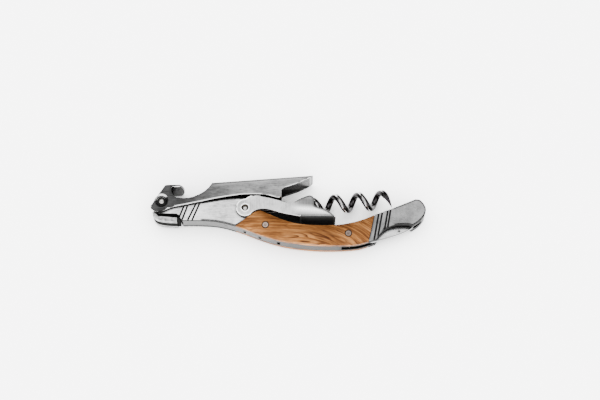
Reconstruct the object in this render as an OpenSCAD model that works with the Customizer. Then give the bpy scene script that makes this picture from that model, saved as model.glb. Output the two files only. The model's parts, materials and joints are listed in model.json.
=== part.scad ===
// Waiters corkscrew lying closed on its side.
// X runs from the lever hinge to the tail, Y from the spine to the belly, Z is up.
// The origin is the middle of the footprint, on the surface the corkscrew lies on.
// Every piece is drawn about the middle plane of the handle and lifted by half_w.

/* [Widths across the handle] */
// Outer width of both levers and of the crowned wood
lever_w = 12.4; // [12:0.1:13.5]
// Thickness of the folded lever sheet
sheet_t = 1.1; // [0.9:0.1:1.2]
// Gap between the two liners
liner_gap = 3.5; // [3.3:0.1:3.6]
// Thickness of each steel liner
liner_t = 1.2; // [1:0.1:1.2]
// Thickness of each bolster
bolster_t = 1.5; // [1.2:0.1:1.5]
// Thickness of the washers between the bolsters and the levers
washer_t = 0.6; // [0.4:0.05:0.6]

/* [Pivots and rivets] */
// Diameter of the pin of the long lever
lever_pin_d = 2.8; // [2.4:0.1:3]
// Diameter of the pin of the worm and the short lever
worm_pin_d = 3.1; // [2.6:0.1:3.2]
// Diameter of the rivet and of the blade pin that show in the wood
rivet_d = 2.4; // [2:0.1:2.6]
// Diameter of the hidden pins that hold the bolsters
hidden_pin_d = 1.4; // [1:0.1:1.6]
// Radial clearance of every turning fit
fit = 0.05; // [0.03:0.01:0.08]

/* [Worm] */
// Outer diameter of the helix
worm_d = 9.3; // [8.6:0.1:9.5]
// Diameter of the wire
wire_d = 2.8; // [2.4:0.1:2.9]
// Rise of one turn
worm_pitch = 10.2; // [9.8:0.1:10.6]
// Distance from the pivot to the point along the axis of the helix
worm_reach = 64; // [62:0.5:65]
// Slope of the folded worm towards the belly, in degrees
worm_slope = 5.3; // [5:0.1:6]

/* [Wood] */
// Radius of the crown across the scale
crown_r = 8; // [7.5:0.5:10]
// Height of the straight wall around the scale, above the liner
wood_wall = 1.35; // [1:0.05:1.5]

/* [Foil cutter] */
// Thickness of the blade
blade_t = 1.4; // [1.2:0.1:1.5]
// Number of serrations on the cutting edge
blade_teeth = 12; // [6:1:16]

/* [Hidden] */
$fn = 64;
past = 1;                    // how far a cutting shape runs past the face it cuts

half_w = lever_w / 2;
cheek_z = half_w - sheet_t;  // inner face of the lever cheeks
gap_z = liner_gap / 2;       // inner face of the liners
liner_z = gap_z + liner_t;   // outer face of the liners
face_z = liner_z + bolster_t;
pin_end_z = face_z - 0.9;    // the hidden pins stop short of the faces of the bolsters

// Pivot centres
lever_pivot = [-55.3, 4];
worm_pivot = [-18.8, 0.8];
blade_pivot = [26, -11];
rivet_at = [-9.9, -7.1];

// Colours
steel = [0.72, 0.72, 0.72];
dark_steel = [0.45, 0.45, 0.46];
olive_wood = [0.67, 0.42, 0.22];
black_steel = [0.16, 0.16, 0.17];
bronze = [0.62, 0.5, 0.3];

// A smooth curve through the points p, with n steps between two of them
function blend(a, b, c, d, t) =
    0.5 * (2 * b + (c - a) * t + (2 * a - 5 * b + 4 * c - d) * t * t
    + (3 * b - a - 3 * c + d) * t * t * t);
function smooth(p, n = 5) = [
    for (i = [0 : len(p) - 2], k = [0 : n - 1])
        blend(p[max(i - 1, 0)], p[i], p[i + 1], p[min(i + 2, len(p) - 1)], k / n),
    p[len(p) - 1]
];
function reversed(p) = [for (i = [len(p) - 1 : -1 : 0]) p[i]];
function arc(centre, r, from, to, n = 16) = [
    for (i = [0 : n]) centre + r * [cos(from + (to - from) * i / n), sin(from + (to - from) * i / n)]
];

// Outline of the handle, seen from the front
spine = smooth([
    [-46, -4.4], [-38, -4.4], [-30, -5.1], [-21, -7.6], [-12, -11.1], [-2, -14.1], [9, -15.6],
    [19, -16], [29, -15.6], [35.2, -14], [41, -12], [45.5, -10.7], [50, -9], [53.5, -7.2]
]);
tail_end = smooth([
    [54.6, -6.5], [57.2, -4.6], [59.3, -2], [60, 0.4], [59.3, 2.8], [57.6, 4.8], [55.6, 5.2]
]);
tail_belly = smooth([[45.4, 0.9], [43, 0.1], [40.5, -0.9], [37.8, -1.9]]);
wood_belly = smooth([
    [37.8, -1.9], [32.4, -4.2], [27, -5.8], [20.8, -6.8], [13.8, -6.9], [4.9, -6.4], [-1.8, -4.6],
    [-6.8, -2.4], [-11.8, -0.1]
]);
pivot_hump = smooth([[-11.8, -0.1], [-13.6, 2.4], [-16, 4.6], [-19.5, 5.6], [-24, 5.6]]);
head_belly = smooth([[-24, 5.6], [-30, 4.9], [-38, 3.6], [-46, 2.8], [-51.5, 3]]);
head_radius = 3.4;
head_end = concat(arc(lever_pivot, head_radius, 60, 180), smooth([[-59, 2.2], [-59.2, 0.6], [-58.4, -0.6]]));
bolster_step = [[-56.5, -1.2], [-48.6, -1.4], [-47.4, -2.2], [-46.6, -3.9]];

// The crescent in the spine side of the tail through which the blade is pinched
scoop = smooth([
    [37.6, -13.6], [39.6, -10.7], [41.6, -8.8], [44.2, -7.2], [47, -6.4], [50, -6.2], [52.8, -6.4], [55, -7.4]
]);
wood_tail_edge = [[37.7, -1.9], [34.9, -14.1]];
wood_head_edge = [[-23.4, -7.3], [-16.7, -2.9], [-14.5, -1.1], [-13.1, -0.3]];

module lifted() {
    translate([0, 0, half_w]) children();
}
module back_side() {
    mirror([0, 0, 1]) children();
}
// A flat piece between two heights above the middle plane
module plate(from, to) {
    translate([0, 0, from]) linear_extrude(to - from) children();
}
module hole(at, d, from = -lever_w, to = lever_w) {
    translate([at.x, at.y, from]) cylinder(d = d, h = to - from);
}
module pin(at, d, half) {
    hole(at, d, -half, half);
}
module ring(at, outer, inner, from, to) {
    difference() {
        hole(at, outer, from, to);
        hole(at, inner, from - past, to + past);
    }
}
// A pin whose two ends are rounded over, standing rise above their rims
module domed_pin(at, d, half, rise) {
    dome_r = (d * d / 4 + rise * rise) / (2 * rise);
    pin(at, d, half - rise);
    for (side = [-1, 1])
        intersection() {
            hole(at, d, side > 0 ? half - rise - 0.1 : -half, side > 0 ? half : rise + 0.1 - half);
            translate([at.x, at.y, side * (half - dome_r)]) sphere(r = dome_r);
        }
}
// Shallow dish turned into the end of a pin, on both ends
module dished_pin(at, d, half, dish_d, dish_depth) {
    difference() {
        pin(at, d, half);
        for (side = [-1, 1])
            translate([at.x, at.y, side * half]) scale([1, 1, dish_depth / dish_d * 2]) sphere(d = dish_d);
    }
}

module handle_shape() {
    polygon(concat(
        spine, tail_end, tail_belly, wood_belly, pivot_hump, head_belly, head_end, bolster_step
    ));
}
module scoop_shape() {
    polygon(concat(scoop, [[58, -12], [46, -18], [36.6, -18]]));
}
// Everything on the wood's side of its two end edges
module wood_zone() {
    polygon(concat([wood_tail_edge[0] + [0, 12]], wood_tail_edge, [[34.2, -20], [-23.4, -20]],
        wood_head_edge, [[-11.9, 0], [-11.9, 12]]));
}

/* Frame */
module liner() {
    difference() {
        plate(gap_z, liner_z) difference() {
            handle_shape();
            scoop_shape();
        }
        hole(lever_pivot, lever_pin_d);
        hole(worm_pivot, worm_pin_d);
        hole(rivet_at, rivet_d);
        hole(blade_pivot, rivet_d);
        for (at = concat(head_pins, tail_pins))
            hole(at, hidden_pin_d);
    }
}

// The spring is a strip along the spine, with a plate at its head and a lug at the rivet
spring_depth = 3.2;
plate_half_w = 4.5;
spring_end_x = 23.4;
spine_notches = [[-19.2, -8.7], [-12.6, -11.3], [-4.3, -13.8]];
notch_d = 1.5;
spring_outer = [for (p = spine) if (p.x < spring_end_x) p];
spring_inner = [
    for (i = [0 : 5 : len(spring_outer) - 1]) spring_outer[i] + [0.4, spring_depth]
];
head_plate = smooth([[-59.2, -0.8], [-58.6, -2.7], [-56.6, -4.2], [-52.4, -4.9], [-48.4, -5.1]]);
head_plate_inner = [[-48.4, -4.3], [-47.1, -4.3], [-47.1, -3.3], [-48.6, -3.3], [-56.6, -2.6], [-58.2, -0.8]];
module spring_strip() {
    polygon(concat(spring_outer, reversed(spring_inner)));
    polygon(concat([[-45.6, -4.3], [-43, -4.3], [-43, -1.4], [-50, 2.6]],
        arc(lever_pivot, head_radius - 0.2, 0, 190),
        [[-58.4, 1.6], [-58.6, -1.8], [-56.8, -3.2], [-56.4, -1.6], [-49.6, -1.9], [-48.6, -3.5], [-46, -3.7]]));
    translate(rivet_at) circle(d = rivet_d + 3.4);
}
module back_spring() {
    color(steel) lifted() difference() {
        union() {
            plate(-gap_z, gap_z) difference() {
                spring_strip();
                translate(blade_pivot) circle(r = tang_r + 0.15);
            }
            plate(-plate_half_w, plate_half_w)
                polygon(concat(head_plate, head_plate_inner));
        }
        hole(lever_pivot, lever_pin_d);
        hole(rivet_at, rivet_d);
        hole(head_pins[0], hidden_pin_d);
        for (at = spine_notches)
            hole(at, notch_d);
    }
}

module tail_spacer() {
    color(steel) lifted() difference() {
        plate(-gap_z, gap_z) intersection() {
            handle_shape();
            polygon(concat(spacer_edge, [[70, -5.4], [70, 12], [34, 12]]));
        }
        for (at = tail_pins)
            hole(at, hidden_pin_d);
    }
}
spacer_edge = [[34, -5.2], [42, -4.4], [50, -3.4], [56.4, -3.2]];

/* Bolsters, with their pairs of engraved lines */
head_pins = [[-50.5, 0.6], [-27, 0.6]];
tail_pins = [[41, -3], [53, 0.6]];
head_lines = [
    [[-45.4, 2.4], [-47.2, -2.4]], [[-43.8, 2.6], [-46.3, -4.6]],
    [[-40.2, 3.4], [-43.8, -4.6]], [[-38.6, 3.6], [-41.9, -4.6]]
];
tail_lines = [
    [[39.5, -1], [37, -14.2]], [[41, -0.6], [39, -11]],
    [[43.5, 0.6], [41.7, -9.2]], [[44.7, 1], [43.2, -7.6]]
];
line_w = 0.8;
line_depth = 0.6;
// A groove of triangular section from a to b in the outer face of a bolster
module engraved(line) {
    a = line[0];
    b = line[1];
    translate([a.x, a.y, face_z]) rotate([0, 0, atan2(b.y - a.y, b.x - a.x)]) translate([-past, 0, 0])
        rotate([90, 0, 90]) linear_extrude(norm(b - a) + 2 * past)
            polygon([[-line_w / 2 - 0.1, 0.1], [line_w / 2 + 0.1, 0.1], [0, -line_depth]]);
}
// The bolster pins stop short of the outer face, so they can't be seen
module hidden_pin(at, from) {
    hole(at, hidden_pin_d, from, pin_end_z);
}
module head_bolster() {
    difference() {
        plate(liner_z, face_z) difference() {
            intersection() {
                handle_shape();
                translate([-70, -20]) square([58.1, 40]);
            }
            wood_zone();
        }
        for (line = head_lines)
            engraved(line);
        hole(lever_pivot, lever_pin_d);
        hole(worm_pivot, worm_pin_d);
        for (at = head_pins)
            hidden_pin(at, liner_z - past);
    }
}
module tail_bolster() {
    difference() {
        plate(liner_z, face_z) difference() {
            intersection() {
                handle_shape();
                translate([30, -20]) square([40, 40]);
            }
            wood_zone();
            scoop_shape();
        }
        for (line = tail_lines)
            engraved(line);
        for (at = tail_pins)
            hidden_pin(at, liner_z - past);
    }
}

/* Wood scale: a flat plate with a crowned back that follows the bend of the handle */
bend_centre = [15.4, 53.8];
bend_r = 65.3;
tail_gap = 0.2;
rivet_ring = 0.35;
module wood_shape() {
    intersection() {
        handle_shape();
        wood_zone();
        translate([-tail_gap, 0]) wood_zone();
    }
}
module rivet_hole(at) {
    hole(at, rivet_d);
    hole(at, rivet_d + 2 * rivet_ring, rivet_top(at) - rivet_ring);
}
module wood_scale() {
    difference() {
        union() {
            plate(liner_z, liner_z + wood_wall) wood_shape();
            intersection() {
                plate(liner_z, half_w) wood_shape();
                translate([bend_centre.x, bend_centre.y, half_w - crown_r])
                    rotate_extrude($fn = 128) translate([bend_r, 0]) circle(r = crown_r);
            }
        }
        rivet_hole(rivet_at);
        rivet_hole(blade_pivot);
    }
}

/* Levers, folded from sheet */
lever_left = [[-54, 11.1], [-52.6, 11.5]];
lever_throat = smooth([[-50.6, 11.5], [-51.2, 9.1], [-50.5, 7], [-49.2, 5.6], [-45.9, 5.1], [-42, 5.8],
    [-39, 6.9], [-36.1, 8.8], [-34.3, 11], [-33.4, 12.3]]);
lever_top = [[-32.2, 12.7], [10.8, 16]];
lever_toe = [[9.2, 14.7]];
lever_mouth = smooth([[8.4, 14.2], [4.8, 12.4], [0.8, 10.9], [-2.2, 9.9], [-3, 9.2]]);
lever_heel = [[-3, 5.8], [-3.6, 5.4]];
lever_under = smooth([[-5.1, 5.5], [-8.4, 6.4], [-12, 6.95], [-18.5, 7], [-25, 6.3], [-31.8, 5.1],
    [-38.5, 3.6], [-45.9, 2], [-50.7, 1], [-54.1, -0.5], [-56.6, -1],
    [-58.6, -0.7], [-59.7, 0.2], [-60, 1.4]]);
module lever_side() {
    polygon(concat(lever_left, lever_throat, lever_top, lever_toe, lever_mouth, lever_heel, lever_under));
}
// The folded back: the strip left when the side is moved in by the sheet's thickness
module lever_back() {
    difference() {
        intersection() {
            lever_side();
            translate([-49.6, 0]) square([61, 20]);
        }
        translate([0.6, -sheet_t]) lever_side();
        translate([0.6, -sheet_t]) polygon([[-4, 4], [-4, 14.86], [20, 16.7], [20, 4]]);
    }
}
// Rounds the two outer edges of a fold that runs from a to b, with the sheet below the line
module fold_round(a, b, r) {
    translate([a.x, a.y, 0]) rotate([0, 0, atan2(b.y - a.y, b.x - a.x)]) translate([-past, 0, 0])
        rotate([90, 0, 90]) linear_extrude(norm(b - a) + 2 * past)
            for (side = [-1, 1])
                difference() {
                    translate([-r, side > 0 ? half_w - r : -half_w - past]) square([r + past, r + past]);
                    translate([-r, side * (half_w - r)]) circle(r = r);
                }
}
// The flat tongue that hooks under a crown cap, round at its free end
tongue_y = 11.5;
tongue_r = 11;
tongue_centre_x = -56.7;
module cap_tongue() {
    intersection() {
        plate(-half_w, half_w)
            polygon([[-52.6, tongue_y], [-52.6, tongue_y - sheet_t], [-45, tongue_y - sheet_t], [-45, tongue_y]]);
        translate([tongue_centre_x, 20, 0]) rotate([90, 0, 0]) cylinder(r = tongue_r, h = 20);
    }
}
dish_r = 3.1;
module cheek_dish(at, d, depth) {
    for (side = [0, 1])
        mirror([0, 0, side]) {
            translate([at.x, at.y, half_w - depth]) cylinder(r1 = d / 2, r2 = dish_r, h = depth + 0.001);
            hole(at, d, half_w - 0.8, half_w + past);
        }
}
toe_round = 1.3;
module toe_corners() {
    for (side = [-1, 1])
        translate([10.8 - toe_round, 20, side * (half_w - toe_round)]) rotate([90, 0, 0]) difference() {
            translate([0, side < 0 ? -past - toe_round : 0, 0]) cube([toe_round + past, toe_round + past, 8]);
            cylinder(r = toe_round, h = 9);
        }
}
module long_lever() {
    color(steel) lifted() difference() {
        union() {
            plate(cheek_z, half_w) lever_side();
            plate(-half_w, -cheek_z) lever_side();
            plate(-half_w, half_w) lever_back();
            cap_tongue();
        }
        fold_round(lever_top[0], lever_top[1], 1.3);
        fold_round([-52.6, tongue_y], [-45, tongue_y], 0.6);
        hole(lever_pivot, lever_pin_d + 2 * fit);
        cheek_dish(lever_pivot, 4, 0.35);
        toe_corners();
    }
}

arm_end_r = 3.9;
arm_top = smooth([[-16.4, 6.2], [-13.4, 6.3], [-9.6, 5.7], [-5.1, 4.6], [-1.6, 3.5], [0.7, 2.8]], 4);
arm_tooth = smooth([[0.7, 2.8], [2.4, 3.4], [5.5, 5.1], [8.2, 6.2], [9.6, 6.4], [10.8, 5.8], [11.3, 4.6]], 4);
arm_nose = smooth([[11.1, 2], [12.3, 1.2], [14.5, 0.4], [17, -0.7], [19, -2], [20.3, -3], [20.6, -3.6]], 4);
arm_floor_y = -3.6;
arm_under = smooth([[9, -3.6], [4.6, -3.1], [0.7, -2.4], [-3.2, -1.6], [-6.4, -0.6], [-9.2, 0.1],
    [-12, 0.2], [-14.1, -0.4], [-15.9, -1.5]], 4);
module arm_side() {
    polygon(concat(arc(worm_pivot, arm_end_r, 90, 310, 40), reversed(arm_under), reversed(arm_nose),
        reversed(arm_tooth), reversed(arm_top)));
}
arm_floor_x = 5;
module short_lever() {
    color(steel) lifted() difference() {
        union() {
            plate(cheek_z, half_w) arm_side();
            plate(-half_w, -cheek_z) arm_side();
            plate(-half_w, half_w) intersection() {
                arm_side();
                polygon([[arm_floor_x, -9], [arm_floor_x, arm_floor_y + sheet_t + 0.4],
                    [9, arm_floor_y + sheet_t], [30, arm_floor_y + sheet_t], [30, -9]]);
            }
        }
        fold_round([21.5, arm_floor_y], [arm_floor_x + past, arm_floor_y], 1.2);
        hole(worm_pivot, worm_pin_d + 2 * fit);
    }
}

/* Worm: a shank that opens into a right-handed helix and tapers to a point */
worm_r = (worm_d - wire_d) / 2;
coil_start = 23;             // along the axis, where the wire leaves the centre
coil_full = 33;              // where it has reached its full radius
tip_taper = 2.4;             // length of the tapered end along the axis
tip_r = 0.12;
shank_d = 2.4;               // the straight part, where it is held in the knuckle
groove_depth = 0.45;         // groove along the outer side of the wire
coil_phase = 39.1;           // a place on the axis where the wire is at its highest
wire_sides = 16;
rings_per_turn = 24;
function ease(t) = t <= 0 ? 0 : t >= 1 ? 1 : t * t * (3 - 2 * t);
function turn_at(s) = 360 * (s - coil_phase) / worm_pitch;
function tapered(s) = min(1, (worm_reach - s) / tip_taper);
// The point lies on the outer side: the wire moves out as it gets thinner
function coil_r(s) = worm_r * ease((s - coil_start) / (coil_full - coil_start))
    + (1 - tapered(s)) * (wire_d / 2 - tip_r);
function wire_point(s) = [s, coil_r(s) * cos(turn_at(s)), coil_r(s) * sin(turn_at(s))];
function wire_r(s) = s < coil_start - 6 ? shank_d / 2 : tip_r + (wire_d / 2 - tip_r) * tapered(s);
// How far the wire is hollowed at corner k of a ring; the middle corner of the outer side is groove_side
function hollow(s, k) = k == groove_side && s > coil_start ? groove_depth * wire_r(s) * 2 / wire_d : 0;
groove_side = wire_sides / 4;
shank_start = 2.6;
ring_at = concat(
    [shank_start, 8, 14, 19],
    [for (i = [0 : floor((worm_reach - coil_start) / worm_pitch * rings_per_turn)])
        coil_start + i * worm_pitch / rings_per_turn],
    [worm_reach]
);
function unit(v) = v / norm(v);
function outward(s) = let (a = turn_at(max(s, coil_start))) [0, cos(a), sin(a)];
function along(s) = unit(wire_point(s + 0.01) - wire_point(s - 0.01));
function ring_points(s) =
    let (side = unit(cross(along(s), outward(s))), up = cross(side, along(s)))
    [for (k = [0 : wire_sides - 1])
        wire_point(s) + (wire_r(s) - hollow(s, k))
            * (cos(360 * k / wire_sides) * side + sin(360 * k / wire_sides) * up)];
module swept_wire() {
    rings = len(ring_at);
    n = wire_sides;
    polyhedron(
        points = [for (s = ring_at) each ring_points(s)],
        faces = concat(
            [[for (k = [0 : n - 1]) k]],
            [for (i = [0 : rings - 2], k = [0 : n - 1])
                [i * n + k, (i + 1) * n + k, (i + 1) * n + (k + 1) % n]],
            [for (i = [0 : rings - 2], k = [0 : n - 1])
                [i * n + k, (i + 1) * n + (k + 1) % n, i * n + (k + 1) % n]],
            [[for (k = [n - 1 : -1 : 0]) (rings - 1) * n + k]]
        )
    );
}
module along_worm() {
    lifted() translate([worm_pivot.x, worm_pivot.y, 0]) rotate([0, 0, worm_slope]) children();
}
module worm() {
    color(black_steel) along_worm() swept_wire();
}
knuckle_r = 3;
knuckle_half = gap_z - fit;
module worm_knuckle() {
    color(black_steel) along_worm() difference() {
        union() {
            cylinder(r = knuckle_r, h = 2 * knuckle_half, center = true);
            rotate([0, 90, 0]) cylinder(r = knuckle_half, h = 6.5);
        }
        cylinder(d = worm_pin_d + 2 * fit, h = lever_w, center = true);
        translate([shank_start, 0, 0]) rotate([0, 90, 0]) cylinder(d = shank_d, h = 10);
    }
}

/* Foil cutter */
tang_r = 4.2;
blade_back = smooth([[31.4, -12.2], [33.6, -12.9], [36.4, -13.2], [41, -12], [45.5, -10.7], [50, -9],
    [53.2, -7.4], [54.6, -6.2]]);
blade_tip = [54.6, -6.2];
blade_heel = [33.4, -8.8];
edge_end = [53.2, -5.4];
tooth_depth = 0.35;
dimple_d = 0.8;
blade_edge = [
    for (i = [0 : 2 * blade_teeth])
        let (t = i / (2 * blade_teeth), bow = 0.8 * sin(180 * t))
        edge_end * (1 - t) + blade_heel * t + [0, bow - (i % 2 == 0 ? 0 : tooth_depth)]
];
module foil_blade() {
    color(steel) lifted() difference() {
        plate(-blade_t / 2, blade_t / 2) {
            polygon(concat(blade_back, blade_edge, [[31, -8.6], [28, -8]]));
            translate(blade_pivot) circle(r = tang_r);
        }
        hole(blade_pivot, rivet_d + 2 * fit);
        for (side = [-1, 1])
            translate([48.3, -8.3, side * blade_t / 2]) sphere(d = dimple_d, $fn = 24);
    }
}

/* Pins and washers */
// Height of the crown of the wood over a rivet
function rivet_top(at) = half_w - crown_r + sqrt(pow(crown_r, 2) - pow(norm(at - bend_centre) - bend_r, 2));
module wood_pin(at) {
    color(steel) lifted() dished_pin(at, rivet_d, rivet_top(at) - 0.05, rivet_d * 0.4, 0.2);
}
module lever_pin() {
    color(steel) lifted() domed_pin(lever_pivot, lever_pin_d, half_w - 0.1, 0.6);
}
module worm_pin() {
    color(steel) lifted() domed_pin(worm_pivot, worm_pin_d, half_w - 0.5, 0.7);
}
module bolster_pins(places) {
    color(steel) lifted() for (at = places)
        hidden_pin(at, -pin_end_z);
}
module outer_washer(at, pin_d) {
    color(bronze) lifted() ring(at, pin_d + 3.2, pin_d, face_z, face_z + washer_t);
}
module blade_washer() {
    color(bronze) lifted() ring(blade_pivot, 2 * tang_r - 1, rivet_d, blade_t / 2 + fit, gap_z);
}
// The mirror of a lifted piece, on the other side of the handle
module other_side() {
    translate([0, 0, lever_w]) mirror([0, 0, 1]) children();
}

color(dark_steel) lifted() liner();  // liner_front
color(dark_steel) lifted() back_side() liner();  // liner_back
back_spring();
tail_spacer();
color(steel) lifted() head_bolster();  // head_bolster_front
color(steel) lifted() back_side() head_bolster();  // head_bolster_back
color(steel) lifted() tail_bolster();  // tail_bolster_front
color(steel) lifted() back_side() tail_bolster();  // tail_bolster_back
color(olive_wood) lifted() wood_scale();  // wood_scale_front
color(olive_wood) lifted() back_side() wood_scale();  // wood_scale_back
wood_pin(rivet_at);  // scale_rivet
wood_pin(blade_pivot);  // blade_pin
lever_pin();
worm_pin();
bolster_pins(head_pins);  // head_bolster_pins
bolster_pins(tail_pins);  // tail_bolster_pins
outer_washer(lever_pivot, lever_pin_d);  // lever_washer_front
other_side() outer_washer(lever_pivot, lever_pin_d);  // lever_washer_back
outer_washer(worm_pivot, worm_pin_d);  // arm_washer_front
other_side() outer_washer(worm_pivot, worm_pin_d);  // arm_washer_back
blade_washer();  // blade_washer_front
other_side() blade_washer();  // blade_washer_back
long_lever();
short_lever();
worm();
worm_knuckle();
foil_blade();
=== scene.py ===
import json
import math

import bmesh
import bpy
from mathutils import Matrix, Vector


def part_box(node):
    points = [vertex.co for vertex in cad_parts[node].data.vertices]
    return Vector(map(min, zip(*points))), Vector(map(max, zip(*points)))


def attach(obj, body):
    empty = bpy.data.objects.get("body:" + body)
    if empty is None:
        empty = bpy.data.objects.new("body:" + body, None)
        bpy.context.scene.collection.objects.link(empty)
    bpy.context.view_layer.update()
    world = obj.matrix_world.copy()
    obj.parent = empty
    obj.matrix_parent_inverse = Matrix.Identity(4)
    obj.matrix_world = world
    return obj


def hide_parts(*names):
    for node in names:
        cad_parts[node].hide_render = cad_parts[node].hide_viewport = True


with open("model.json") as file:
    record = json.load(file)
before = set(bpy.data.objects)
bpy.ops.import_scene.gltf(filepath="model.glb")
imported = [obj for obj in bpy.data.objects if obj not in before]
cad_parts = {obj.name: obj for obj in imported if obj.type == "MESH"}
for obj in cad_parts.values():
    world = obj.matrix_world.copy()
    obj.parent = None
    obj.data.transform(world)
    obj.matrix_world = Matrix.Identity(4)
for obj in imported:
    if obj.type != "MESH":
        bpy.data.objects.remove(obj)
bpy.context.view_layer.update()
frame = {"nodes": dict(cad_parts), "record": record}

MM = 0.001
NODES = frame["nodes"]
JOINTS = {joint["name"]: joint for joint in frame["record"]["behaviour"]["joints"]}
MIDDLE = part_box("long_lever")[1].z / 2


def height_of(node):
    """How far the outer face of a node stands from the middle plane of the handle."""
    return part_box(node)[1].z - MIDDLE


def centre_of(node):
    low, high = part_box(node)
    return (low + high) / 2


# Camera and light

def aim(obj, target):
    obj.rotation_euler = (target - obj.location).to_track_quat("-Z", "Y").to_euler()


def make_camera():
    """Looks down on the corkscrew, a little from the spine's side."""
    elevation = math.radians(70)
    target = Vector((5.1, 4.2, 12.4)) * MM
    lens, view_width = 85, 261.3 * MM
    data = bpy.data.cameras.new("camera")
    data.lens = lens
    data.sensor_width = 36
    camera = bpy.data.objects.new("camera", data)
    bpy.context.collection.objects.link(camera)
    distance = view_width * lens / data.sensor_width
    camera.location = target + distance * Vector((0, -math.cos(elevation), math.sin(elevation)))
    aim(camera, target)
    bpy.context.scene.camera = camera


def soft_box(name, place, width, depth, radiance):
    """A rectangular light of that brightness, facing the object."""
    data = bpy.data.lights.new(name, "AREA")
    data.shape = "RECTANGLE"
    data.size, data.size_y = width, depth
    data.energy = radiance * math.pi * width * depth
    box = bpy.data.objects.new(name, data)
    bpy.context.collection.objects.link(box)
    box.location = place
    aim(box, Vector((0, 0, MIDDLE)))


def make_lights():
    soft_box("overhead", Vector((-0.05, 0.26, 0.75)), 0.95, 0.5, 3.4)
    soft_box("front", Vector((0.05, -0.75, 0.55)), 0.9, 0.3, 3.0)
    world = bpy.data.worlds.new("studio")
    world.use_nodes = True
    background = world.node_tree.nodes["Background"]
    background.inputs["Strength"].default_value = 1.0
    tree = world.node_tree
    place = tree.nodes.new("ShaderNodeTexCoord")
    split = tree.nodes.new("ShaderNodeSeparateXYZ")
    total = tree.nodes.new("ShaderNodeMath")
    tree.links.new(place.outputs["Generated"], split.inputs["Vector"])
    brighter_upwards = (0, "Z", 0.3, 1.0, 0.08, 1.0)
    brighter_in_front = (1, "Y", 0.1, -0.45, 0.0, 2.4)
    for slot, axis, start, end, low, high in (brighter_upwards, brighter_in_front):
        fade = tree.nodes.new("ShaderNodeMapRange")
        for socket, value in (("From Min", start), ("From Max", end), ("To Min", low), ("To Max", high)):
            fade.inputs[socket].default_value = value
        tree.links.new(split.outputs[axis], fade.inputs["Value"])
        tree.links.new(fade.outputs["Result"], total.inputs[slot])
    tree.links.new(total.outputs["Value"], background.inputs["Color"])
    bpy.context.scene.world = world


# Materials

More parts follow.
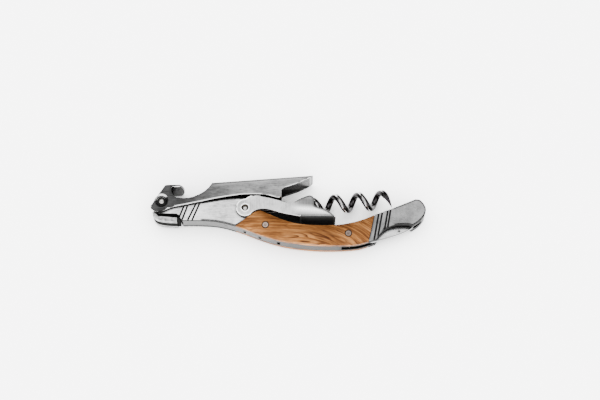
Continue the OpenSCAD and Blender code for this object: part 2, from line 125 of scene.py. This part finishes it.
class Shader:
    """A node material under construction: one Principled shader fed by procedural nodes."""

    def __init__(self, name, **values):
        self.material = bpy.data.materials.new(name)
        self.material.use_nodes = True
        self.tree = self.material.node_tree
        self.main = self.tree.nodes["Principled BSDF"]
        for socket, value in values.items():
            self.main.inputs[socket.replace("_", " ")].default_value = value
        self.place = self.add("ShaderNodeTexCoord").outputs["Object"]

    def add(self, kind, **settings):
        node = self.tree.nodes.new(kind)
        for key, value in settings.items():
            setattr(node, key, value)
        return node

    def feed(self, source, target):
        if isinstance(source, (int, float, tuple)):
            target.default_value = source
        else:
            self.tree.links.new(source, target)

    def mapped(self, scale, turn=(0, 0, 0), place=None):
        node = self.add("ShaderNodeMapping")
        node.inputs["Scale"].default_value = scale
        node.inputs["Rotation"].default_value = turn
        self.feed(place or self.place, node.inputs["Vector"])
        return node.outputs["Vector"]

    def axis(self, name):
        node = self.add("ShaderNodeSeparateXYZ")
        self.feed(self.place, node.inputs["Vector"])
        return node.outputs[name]

    def noise(self, vector, scale=1.0, detail=4.0, roughness=0.5, distortion=0.0):
        node = self.add("ShaderNodeTexNoise")
        for socket, value in (("Scale", scale), ("Detail", detail), ("Roughness", roughness),
                              ("Distortion", distortion)):
            node.inputs[socket].default_value = value
        self.feed(vector, node.inputs["Vector"])
        return node.outputs["Fac"]

    def ramp(self, factor, stops):
        node = self.add("ShaderNodeValToRGB")
        while len(node.color_ramp.elements) < len(stops):
            node.color_ramp.elements.new(1)
        for element, (position, colour) in zip(node.color_ramp.elements, stops):
            element.position = position
            if isinstance(colour, (int, float)):
                colour = (colour,) * 3
            element.color = (*colour, 1)
        self.feed(factor, node.inputs["Fac"])
        return node.outputs["Color"]

    def between(self, value, low, high):
        """0 where value is below low, 1 where it is above high."""
        node = self.add("ShaderNodeMapRange")
        node.inputs["From Min"].default_value = low
        node.inputs["From Max"].default_value = high
        self.feed(value, node.inputs["Value"])
        return node.outputs["Result"]

    def math(self, operation, a, b=0.0):
        node = self.add("ShaderNodeMath", operation=operation)
        self.feed(a, node.inputs[0])
        self.feed(b, node.inputs[1])
        return node.outputs["Value"]

    def mix(self, factor, a, b, blend="MIX"):
        node = self.add("ShaderNodeMix", data_type="RGBA", blend_type=blend)
        for name, source in (("Factor", factor), ("A", a), ("B", b)):
            sockets = [i for i in node.inputs if i.name == name and i.enabled]
            self.feed(source, sockets[0])
        return [o for o in node.outputs if o.enabled][0]

    def bump(self, height, strength, distance):
        node = self.add("ShaderNodeBump")
        node.inputs["Strength"].default_value = strength
        node.inputs["Distance"].default_value = distance
        self.feed(height, node.inputs["Height"])
        self.feed(node.outputs["Normal"], self.main.inputs["Normal"])

    def to(self, socket, source):
        self.feed(source, self.main.inputs[socket])

    def from_point(self, point):
        """Distance in plan from that point."""
        across = [self.math("POWER", self.math("SUBTRACT", self.axis(axis), value), 2.0)
                  for axis, value in zip("XY", point)]
        return self.math("SQRT", self.math("ADD", *across))

    def top_of(self, face):
        """1 on the faces at that height off the middle plane, 0 below."""
        return self.between(self.off_middle(), face - 0.25 * MM, face - 0.06 * MM)

    def edges(self, width):
        """1 within that distance of an edge, 0 on open faces."""
        rounded = self.add("ShaderNodeBevel", samples=8)
        rounded.inputs["Radius"].default_value = width
        dot = self.add("ShaderNodeVectorMath", operation="DOT_PRODUCT")
        self.feed(rounded.outputs["Normal"], dot.inputs[0])
        self.feed(self.add("ShaderNodeNewGeometry").outputs["Normal"], dot.inputs[1])
        return self.between(dot.outputs["Value"], 0.998, 0.975)

    def crevice(self, reach):
        """0 on open faces, 1 close beside something that stands over them."""
        node = self.add("ShaderNodeAmbientOcclusion", samples=8)
        node.inputs["Distance"].default_value = reach
        return self.between(node.outputs["AO"], 0.95, 0.45)

    def off_middle(self):
        """Distance from the middle plane of the handle."""
        return self.math("ABSOLUTE", self.math("SUBTRACT", self.axis("Z"), MIDDLE))


def steel(name, dark, light, rough, lines=(9000, 250, 250), turn=0, face=None, painted_side_shade=0.02, shaded_metallic=0.0,
          extra=None):
    """Brushed steel. Below face, the height of its outer side, it is painted dark as shade on its sides and
    in its recesses, and made less metallic there.

    extra(shader, colour, rough) returns the colour and the roughness with what only one node has.
    """
    s = Shader(name, Metallic=1.0)
    brushed = s.noise(s.mapped(lines, (0, 0, math.radians(turn))), detail=8, roughness=0.7)
    cloud = s.noise(s.place, scale=140, detail=5, roughness=0.65)
    tone = s.math("ADD", s.math("MULTIPLY", brushed, 0.55), s.math("MULTIPLY", cloud, 0.45))
    colour = s.ramp(tone, [(0.4, dark), (0.58, light)])
    rough = s.ramp(brushed, [(0.3, rough * 0.75), (0.7, rough * 1.3)])
    if face:
        shown = s.top_of(face)
        # Painted shade: faces below the outer face, on the sides and in recesses, take a dark colour.
        colour = s.mix(shown, (painted_side_shade, painted_side_shade, painted_side_shade, 1), colour)
        metal_outside_shade = s.math("ADD", s.math("MULTIPLY", shown, 1 - shaded_metallic), shaded_metallic)
        s.to("Metallic", metal_outside_shade)
        s.to("Specular IOR Level", s.math("MULTIPLY", metal_outside_shade, 0.5))
    if extra:
        colour, rough = extra(s, colour, rough)
    s.to("Base Color", colour)
    s.to("Roughness", rough)
    s.bump(brushed, 0.5, 0.02 * MM)
    return s.material


def lever_tone_and_painted_light(s, colour, rough):
    """Darker towards the hinge, a painted highlight along the fold, and a painted highlight on the upper
    side of the countersink round the pin.

    Painted shade makes the bore round the pin black, darkens the edges round the toe and darkens the cap
    tongue.
    """
    fade = s.ramp(s.between(s.axis("X"), -42 * MM, -16 * MM), [(0, 0.2), (1, 1.0)])
    colour = s.mix(1.0, colour, fade, "MULTIPLY")
    fold_slope = 0.077
    off_fold = s.math("SUBTRACT", s.axis("Y"), s.math("MULTIPLY", s.axis("X"), fold_slope))
    # Painted highlight: lighter along the fold, where its rounding catches the light.
    light = s.math("MULTIPLY", s.between(off_fold, 12.6 * MM, 14.2 * MM),
                   s.between(s.axis("X"), -36 * MM, -30 * MM))
    colour = s.mix(s.math("MULTIPLY", light, 0.5), colour, (0.28, 0.28, 0.28, 1))
    x, y = JOINTS["long_lever_hinge"]["pos_m"][:2]
    off_pin = s.from_point((x, y))
    tilt = 0.35
    upper = s.math("SUBTRACT", s.math("SUBTRACT", s.axis("Y"), y),
                   s.math("MULTIPLY", s.math("SUBTRACT", s.axis("X"), x), tilt))
    # Painted highlight on the upper side of the countersink round the pin.
    dish_highlight = s.math("MULTIPLY", s.between(off_pin, 3.2 * MM, 3.0 * MM), s.between(upper, 0.7 * MM, 1.3 * MM))
    colour = s.mix(dish_highlight, colour, (0.8, 0.8, 0.79, 1))
    # Painted shade: the bore round the pin is black.
    colour = s.mix(s.between(off_pin, 2.0 * MM, 1.85 * MM), colour, (0.004, 0.004, 0.004, 1))
    # Painted shade: dark within 1.2 mm of the edges round the toe.
    toe = s.math("MULTIPLY", s.edges(1.2 * MM), s.between(s.axis("X"), 5 * MM, 8 * MM))
    colour = s.mix(toe, colour, (0.015, 0.015, 0.015, 1))
    # Painted shade: the cap tongue at the head is dark.
    tongue = s.math("MULTIPLY", s.between(s.axis("Y"), 7.6 * MM, 8.4 * MM),
                    s.math("MULTIPLY", s.between(s.axis("X"), -51.9 * MM, -51.4 * MM),
                           s.between(s.axis("X"), -44.5 * MM, -45 * MM)))
    return s.mix(tongue, colour, (0.02, 0.02, 0.02, 1)), rough


def arm_painted_light(s, colour, rough):
    """A painted highlight along the fold under the nose, painted shade in a band above it, and painted shade
    along the edges of the nose.

    The edge round the pin gets a near-white painted highlight.
    """
    nose_slope = 0.08
    across = s.math("ADD", s.axis("Y"), s.math("MULTIPLY", s.axis("X"), nose_slope))
    # Painted highlight along the fold under the nose, with painted shade above and below it.
    band = s.ramp(s.between(across, -3 * MM, 7 * MM),
                  [(0.0, 0.03), (0.2, 0.35), (0.38, 0.95), (0.52, 0.25),
                   (0.62, 0.07), (0.8, 0.05), (1.0, 0.2)])
    nose = s.math("MULTIPLY", s.between(s.axis("X"), 0.5 * MM, 6 * MM), s.top_of(height_of("short_lever")))
    colour = s.mix(nose, colour, s.mix(0.15, band, colour))
    # Painted shade: dark along the edges of the nose.
    dark = s.math("MULTIPLY", s.edges(1.8 * MM), s.between(s.axis("X"), 2 * MM, 6 * MM))
    # Painted highlight: a near-white rim round the arm's rounded end at the pin.
    painted_highlight = s.math("MULTIPLY", s.edges(0.9 * MM), s.between(s.axis("X"), -15 * MM, -17 * MM))
    colour = s.mix(dark, colour, (0.05, 0.05, 0.05, 1))
    return s.mix(painted_highlight, colour, (0.95, 0.95, 0.94, 1)), rough


def spine_finish(s, colour, rough):
    """Duller towards the tail, in its glancing reflections too."""
    along = s.between(s.axis("X"), -24 * MM, 24 * MM)
    dull = s.ramp(along, [(0, 1.0), (0.5, 0.4), (1, 0.4)])
    s.to("Specular Tint", s.ramp(along, [(0, 1.0), (0.5, 0.8), (0.95, 0.75), (1, 0.6)]))
    return s.mix(1.0, colour, dull, "MULTIPLY"), rough


def bolster_painted_shade(s, colour, rough):
    """Painted shade beside the levers that lie on a bolster, and along its edges away from the engraved
    lines.
    """
    head = s.math("MULTIPLY", s.between(s.axis("X"), -38.5 * MM, -37.5 * MM),
                  s.between(s.axis("X"), -17 * MM, -18 * MM))
    crescent = s.math("MULTIPLY", s.between(s.axis("X"), 40 * MM, 41 * MM),
                      s.between(s.axis("Y"), -7 * MM, -8 * MM))
    tail = s.math("MAXIMUM", s.between(s.axis("X"), 45.5 * MM, 46.5 * MM), crescent)
    plain = s.math("MAXIMUM", tail, head)
    # Painted shade: dark along the edges and in the crevices where a lever stands over the face.
    painted_shade = s.math("MAXIMUM", s.math("MULTIPLY", s.edges(1.3 * MM), plain), s.crevice(1.4 * MM))
    return s.mix(painted_shade, colour, (0.02, 0.02, 0.02, 1)), rough


def spring_wear_and_shade(s, colour, rough):
    """A worn head plate, and painted shade, black and not metallic, where the spring lies low in the gap
    beside the plate and in the notch at its end.
    """
    # Painted shade: black where the spring lies low beside the plate, and in the notch at its end.
    gap = s.between(s.axis("X"), -45.7 * MM, -46 * MM)
    deep_shade_mask = s.math("MULTIPLY", gap, s.math("MAXIMUM", s.between(s.off_middle(), 2.2 * MM, 1.9 * MM),
                                          s.between(s.axis("X"), -48.6 * MM, -48.4 * MM)))
    metal_outside_shade = s.math("SUBTRACT", 1.0, deep_shade_mask)
    s.to("Metallic", metal_outside_shade)
    s.to("Specular IOR Level", s.math("MULTIPLY", metal_outside_shade, 0.5))
    colour, rough = spine_finish(s, colour, rough)
    worn = s.ramp(s.noise(s.place, scale=420, detail=4, roughness=0.6), [(0.4, 0.05), (0.6, 0.3)])
    plate = s.between(s.axis("X"), -48.2 * MM, -48.4 * MM)
    return s.mix(deep_shade_mask, s.mix(plate, colour, worn), (0.01, 0.01, 0.01, 1)), rough


def blade_painted_outline(s, colour, rough):
    """Painted shade along the edges of the flat that shows in the crescent, but not on the back in the slot.
    """
    # Painted shade: dark within 0.6 mm of the edges of the flat.
    outline = s.math("MULTIPLY", s.edges(0.6 * MM), s.between(s.axis("X"), 36 * MM, 38 * MM))
    return s.mix(outline, colour, (0.05, 0.05, 0.05, 1)), rough


def polished_steel(name, colour, rough):
    s = Shader(name, Metallic=1.0)
    smudge = s.noise(s.place, scale=90, detail=5, roughness=0.6)
    s.to("Base Color", s.ramp(smudge, [(0.3, tuple(0.88 * c for c in colour)), (0.7, colour)]))
    s.to("Roughness", s.ramp(smudge, [(0.3, rough * 0.7), (0.7, rough * 1.5)]))
    hairlines = s.noise(s.mapped((300, 6000, 6000)), detail=4)
    s.bump(hairlines, 0.2, 0.01 * MM)
    return s.material


def edge_painted_light(name):
    """The rounded edge of a lever, polished, with a painted highlight on the spine's side and painted shade
    on its other sides and round the pins.
    """
    s = Shader(name, Metallic=1.0, Roughness=0.14)
    node = s.add("ShaderNodeSeparateXYZ")
    s.feed(s.add("ShaderNodeTexCoord").outputs["Normal"], node.inputs["Vector"])
    # Painted highlight where the edge faces the spine's side; everywhere else it is painted dark as shade.
    painted_highlight = s.math("MULTIPLY", s.between(node.outputs["Y"], 0.05, -0.3), s.top_of(5.7 * MM))
    for joint in ("long_lever_hinge", "short_lever_hinge"):
        off_pin = s.from_point(JOINTS[joint]["pos_m"][:2])
        painted_highlight = s.math("MULTIPLY", painted_highlight, s.between(off_pin, 2.6 * MM, 2.8 * MM))
    s.to("Base Color", s.mix(painted_highlight, (0.05, 0.05, 0.05, 1), (0.85, 0.85, 0.84, 1)))
    return s.material


def olive_wood(name):
    """Streaky grain along the handle, with dark veins, that sweeps towards the spine in the tail half."""
    s = Shader(name, Roughness=0.5, Specular_IOR_Level=0.08)
    x, y, z = s.axis("X"), s.axis("Y"), s.axis("Z")
    sweep_from, sweep_rate = 2 * MM, 11.0
    past = s.math("MAXIMUM", s.math("SUBTRACT", x, sweep_from), 0.0)
    sweep = s.math("ADD", y, s.math("MULTIPLY", s.math("MULTIPLY", past, past), sweep_rate))
    bent = s.add("ShaderNodeCombineXYZ")
    for socket, source in zip("XYZ", (x, sweep, z)):
        s.feed(source, bent.inputs[socket])
    grain = bent.outputs["Vector"]
    flow = s.noise(s.mapped((13, 150, 60), place=grain), detail=3, roughness=0.5, distortion=0.3)
    ring_count = 14.0
    rings = s.math("FRACT", s.math("MULTIPLY", flow, ring_count))
    fibre = s.noise(s.mapped((45, 1000, 400), place=grain), detail=6, roughness=0.7)
    cloud = s.noise(s.mapped((60, 170, 100), place=grain), detail=3, roughness=0.6)
    tone = s.math("ADD", s.math("MULTIPLY", fibre, 0.6), s.math("MULTIPLY", cloud, 0.4))
    base = s.ramp(tone, [(0.38, (0.07, 0.02, 0.004)), (0.5, (0.22, 0.083, 0.02)),
                         (0.6, (0.42, 0.18, 0.055))])
    vein = s.ramp(rings, [(0.0, 0.0), (0.45, 0.0), (0.75, 0.6), (0.92, 1.0), (1.0, 0.0)])
    patch = s.between(s.noise(s.mapped((40, 90, 90)), detail=2), 0.38, 0.6)
    strength = s.math("ADD", s.math("MULTIPLY", patch, 0.75), 0.25)
    colour = s.mix(s.math("MULTIPLY", vein, strength), base, (0.045, 0.011, 0.002, 1))
    # Painted shade: the wood is almost black close round the rivet and the pin, in their countersinks.
    for node in ("scale_rivet", "blade_pin"):
        near = s.between(s.from_point(centre_of(node)[:2]), 1.75 * MM, 1.5 * MM)
        colour = s.mix(near, colour, (0.006, 0.003, 0.002, 1))
    s.to("Base Color", colour)
    s.bump(fibre, 0.3, 0.03 * MM)
    return s.material


def make_materials():
    lever = height_of("long_lever")
    bolster = height_of("head_bolster_front")
    spine = dict(dark=(0.025,) * 3, light=(0.06,) * 3, rough=0.3, lines=(400, 2500, 2500))
    return {
        "long_lever": steel("lever_steel", (0.055,) * 3, (0.2,) * 3, 0.3, (250, 2600, 250), 4,
                            face=lever, painted_side_shade=0.035, shaded_metallic=0.9, extra=lever_tone_and_painted_light),
        "short_lever": steel("arm_steel", (0.2,) * 3, (0.5,) * 3, 0.3, (3200, 160, 160),
                             face=lever, extra=arm_painted_light),
        "head_bolster": steel("bolster_steel", (0.22,) * 3, (0.62,) * 3, 0.28, (350, 2600, 250), -35,
                              face=bolster, extra=bolster_painted_shade),
        "tail_bolster": steel("tail_steel", (0.1,) * 3, (0.27,) * 3, 0.42, (1800, 5200, 900),
                              face=bolster, extra=bolster_painted_shade),
        "liner": steel("liner_steel", extra=spine_finish, **spine),
        "back_spring": steel("spring_steel", extra=spring_wear_and_shade, **spine),
        "tail_spacer": steel("spacer_steel", extra=spine_finish, **spine),
        "edge": edge_painted_light("edge_painted_light"),
        "polished_steel": polished_steel("polished_steel", (0.4, 0.4, 0.39), 0.18),
        "foil_blade": steel("blade_steel", (0.24,) * 3, (0.42,) * 3, 0.2, (200, 3000, 3000),
                            extra=blade_painted_outline),
        "pin_steel": polished_steel("pin_steel", (0.4, 0.39, 0.375), 0.2),
        "scale_rivet": polished_steel("rivet_steel", (0.2, 0.15, 0.125), 0.25),
        "blade_pin": polished_steel("dull_rivet_steel", (0.125, 0.093, 0.078), 0.3),
        "olive_wood": olive_wood("olive_wood"),
        "black_steel": polished_steel("black_steel", (0.028, 0.026, 0.027), 0.14),
        # The groove's light colour is a painted highlight.
        "groove": polished_steel("groove_highlight_steel", (0.5, 0.49, 0.49), 0.16),
        "bronze": polished_steel("bronze", (0.2, 0.13, 0.06), 0.3),
    }


def dress_frame(materials):
    """Gives every CAD node its material and softens its edges, which on the levers are polished and carry
    painted highlights and painted shade.
    """
    slot_of = {row["node"]: row["material_slot"] for row in frame["record"]["subparts"]}
    edge_widths = {"long_lever": 0.4, "short_lever": 0.3}
    for name, node in NODES.items():
        key = name.removesuffix("_front").removesuffix("_back").removesuffix("_pins")
        if name in ("lever_pin", "worm_pin"):
            key = "pin_steel"
        if key not in materials:
            key = slot_of[name]
        node.data.materials.clear()
        node.data.materials.append(materials[key])
        lever = name.endswith("_lever")
        weld = node.modifiers.new("weld", "WELD")
        weld.merge_threshold = 0.002 * MM
        if lever:
            flat = node.modifiers.new("flat", "DECIMATE")
            flat.decimate_type = "DISSOLVE"
            flat.angle_limit = math.radians(1)
        bevel = node.modifiers.new("edges", "BEVEL")
        bevel.width = edge_widths.get(name, 0.25) * MM
        bevel.segments = 3
        bevel.limit_method = "ANGLE"
        bevel.angle_limit = math.radians(70 if lever else 40)
        if lever:
            bevel.offset_type = "ABSOLUTE"
            bevel.use_clamp_overlap = False
            # The bevels take the edge material, with its painted highlight and painted shade.
            node.data.materials.append(materials["edge"])
            bevel.material = 1


# Worm

def make_worm(material, painted_highlight):
    """The grooved helix, swept with rounder sides than the CAD node has. The groove is painted light as a
    highlight, except on the rings nearest the point.
    """
    turn = Matrix.Translation(JOINTS["worm_hinge"]["pos_m"]) @ Matrix.Rotation(math.radians(5.3), 4, "Z")
    wire_r, shank_r, tip_r, coil_r = 1.4, 1.2, 0.12, 3.25
    pitch, reach, phase = 10.2, 64.0, 39.1
    coil_start, coil_full, taper = 23.0, 33.0, 2.4
    sides, per_turn, groove_side = 40, 56, 9
    groove_depth, groove_width = 0.42, 0.3
    groove_faces, plain_rings = 1.7, 20

    def ease(t):
        t = min(max(t, 0), 1)
        return t * t * (3 - 2 * t)

    def tapered(s):
        return min(1, (reach - s) / taper)

    def radius(s):
        thick = shank_r + (wire_r - shank_r) * ease((s - 15) / 6)
        return tip_r + (thick - tip_r) * tapered(s)

    def centre(s):
        r = coil_r * ease((s - coil_start) / (coil_full - coil_start)) + (1 - tapered(s)) * (wire_r - tip_r)
        angle = 2 * math.pi * (s - phase) / pitch
        return Vector((s, r * math.cos(angle), r * math.sin(angle)))

    def profile(s, k):
        """Radius of the wire at side k, with a round-bottomed groove along its outer side."""
        off = abs(k - groove_side) * 2 * math.pi / sides
        depth = groove_depth * ease((s - coil_start) / 3) * radius(s) / wire_r
        return radius(s) - depth * math.exp(-(off / groove_width) ** 2)

    stations = [2.8, 6, 10, 14, 17, 20]
    steps = round((reach - coil_start) / pitch * per_turn)
    stations += [coil_start + i * (reach - coil_start) / steps for i in range(steps + 1)]
    mesh = bmesh.new()
    rings = []
    for s in stations:
        angle = 2 * math.pi * (max(s, coil_start) - phase) / pitch
        outward = Vector((0, math.cos(angle), math.sin(angle)))
        ahead = (centre(s + 0.01) - centre(s - 0.01)).normalized()
        side = ahead.cross(outward).normalized()
        up = side.cross(ahead)
        rings.append([])
        for k in range(sides):
            around = 2 * math.pi * k / sides
            out = math.cos(around) * side + math.sin(around) * up
            rings[-1].append(mesh.verts.new(turn @ ((centre(s) + profile(s, k) * out) * MM)))
    for a, b in zip(rings, rings[1:]):
        for k in range(sides):
            n = (k + 1) % sides
            face = mesh.faces.new((a[k], b[k], b[n], a[n]))
            # Painted highlight: the groove faces take the light material, except near the point.
            if abs(k + 0.5 - groove_side) < groove_faces and a not in rings[-plain_rings:]:
                face.material_index = 1
    mesh.faces.new(rings[0])
    mesh.faces.new(list(reversed(rings[-1])))
    bmesh.ops.recalc_face_normals(mesh, faces=mesh.faces)
    worm = add_piece("worm_helix", mesh, material, "worm")
    worm.data.materials.append(painted_highlight)
    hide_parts("worm")


def add_piece(name, mesh, material, body):
    data = bpy.data.meshes.new(name)
    for face in mesh.faces:
        face.smooth = True
    mesh.to_mesh(data)
    mesh.free()
    data.materials.append(material)
    piece = bpy.data.objects.new(name, data)
    bpy.context.collection.objects.link(piece)
    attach(piece, body)
    return piece


def make_floor():
    mesh = bpy.data.meshes.new("floor")
    far = 2.0
    mesh.from_pydata([(-far, -far, 0), (far, -far, 0), (far, far, 0), (-far, far, 0)], [], [(0, 1, 2, 3)])
    floor = bpy.data.objects.new("floor", mesh)
    bpy.context.collection.objects.link(floor)
    s = Shader("floor", Roughness=0.55, Specular_IOR_Level=0.2)
    s.main.inputs["Base Color"].default_value = (0.92, 0.92, 0.92, 1)
    s.main.inputs["Emission Strength"].default_value = 5.0
    # Painted shadow: the floor's glow fades where the object stands close over it.
    near = s.add("ShaderNodeAmbientOcclusion", samples=8)
    near.inputs["Distance"].default_value = 22 * MM
    s.to("Emission Color", s.ramp(near.outputs["AO"], [(0.3, 0.06), (0.97, 1.0)]))
    mesh.materials.append(s.material)


make_camera()
make_lights()
make_floor()
materials = make_materials()
dress_frame(materials)
make_worm(materials["black_steel"], materials["groove"])
